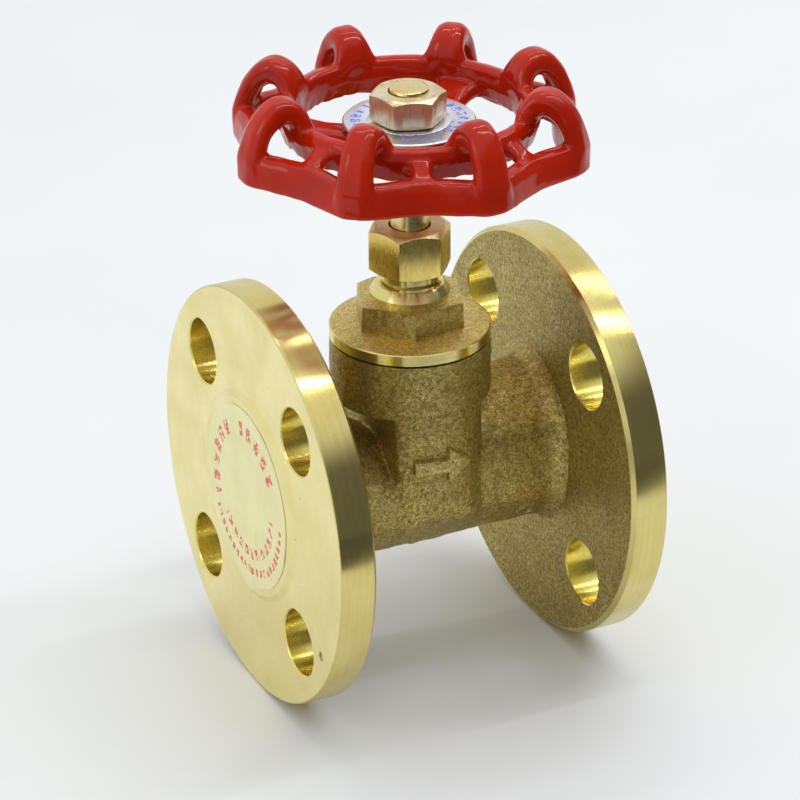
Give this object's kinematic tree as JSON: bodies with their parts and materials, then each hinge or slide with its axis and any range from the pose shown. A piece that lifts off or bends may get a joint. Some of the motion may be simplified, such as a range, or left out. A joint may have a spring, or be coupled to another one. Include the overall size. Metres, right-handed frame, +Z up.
{
  "type": "globe valve",
  "caption": "Flanged bronze globe valve with a screwed bonnet, rising stem and cast handwheel, for shutting or throttling small-bore pipework.",
  "frame": {"origin": "below the middle of the body, on the surface that both flange rims stand on", "axes": "+X along the flow, from the inlet face to the outlet face; +Y to the back; +Z up along the stem"},
  "size_m": [0.082, 0.095, 0.1409],
  "materials": {
    "cast_bronze": "sand-cast bronze, machined bright on the flange faces, rims and bolt holes",
    "bonnet_bronze": "cast hexagon and top, turned rim, collar and neck",
    "turned_brass": "turned, bright",
    "gland_brass": "bright hexagon bar with a coppery top face",
    "stem_brass": "turned, bright",
    "nut_brass": "bright top face, smudged flats",
    "steel": "turned",
    "fibre": "compressed fibre",
    "ptfe": "smooth",
    "red_enamel": "thick gloss enamel over a rough casting",
    "nameplate_aluminium": "brushed, with a printed blue ring",
    "label_paper": "cream, slightly creased, with red print"
  },
  "bodies": {
    "root": {"body": "cast_bronze", "seat_ring": "turned_brass", "bonnet_gasket": "fibre", "bonnet": "bonnet_bronze", "packing_washer": "turned_brass", "packing_ring_1": "ptfe", "packing_ring_2": "ptfe", "packing_ring_3": "ptfe", "packing_ring_4": "ptfe", "gland_follower": "turned_brass", "gland_nut": "gland_brass", "inlet_label": "label_paper"},
    "disc": {"disc_holder": "turned_brass", "disc_seal": "ptfe", "disc_screw": "steel"},
    "stem": {"stem": "stem_brass", "handwheel": "red_enamel", "nameplate": "nameplate_aluminium", "stem_nut": "nut_brass"}
  },
  "joints": [
    {"name": "disc_lift", "type": "slide", "parent": "root", "child": "disc", "axis": [0, 0, 1], "range_m": [0, 0.005]},
    {"name": "stem_spin", "type": "hinge", "parent": "disc", "child": "stem", "pos_m": [0, 0, 0.0475], "axis": [0, 0, 1], "range_deg": [0, 900]}
  ],
  "couplings": [
    {"joint": "disc_lift", "follows": "stem_spin", "m_per_rad": 0.000318}
  ]
}
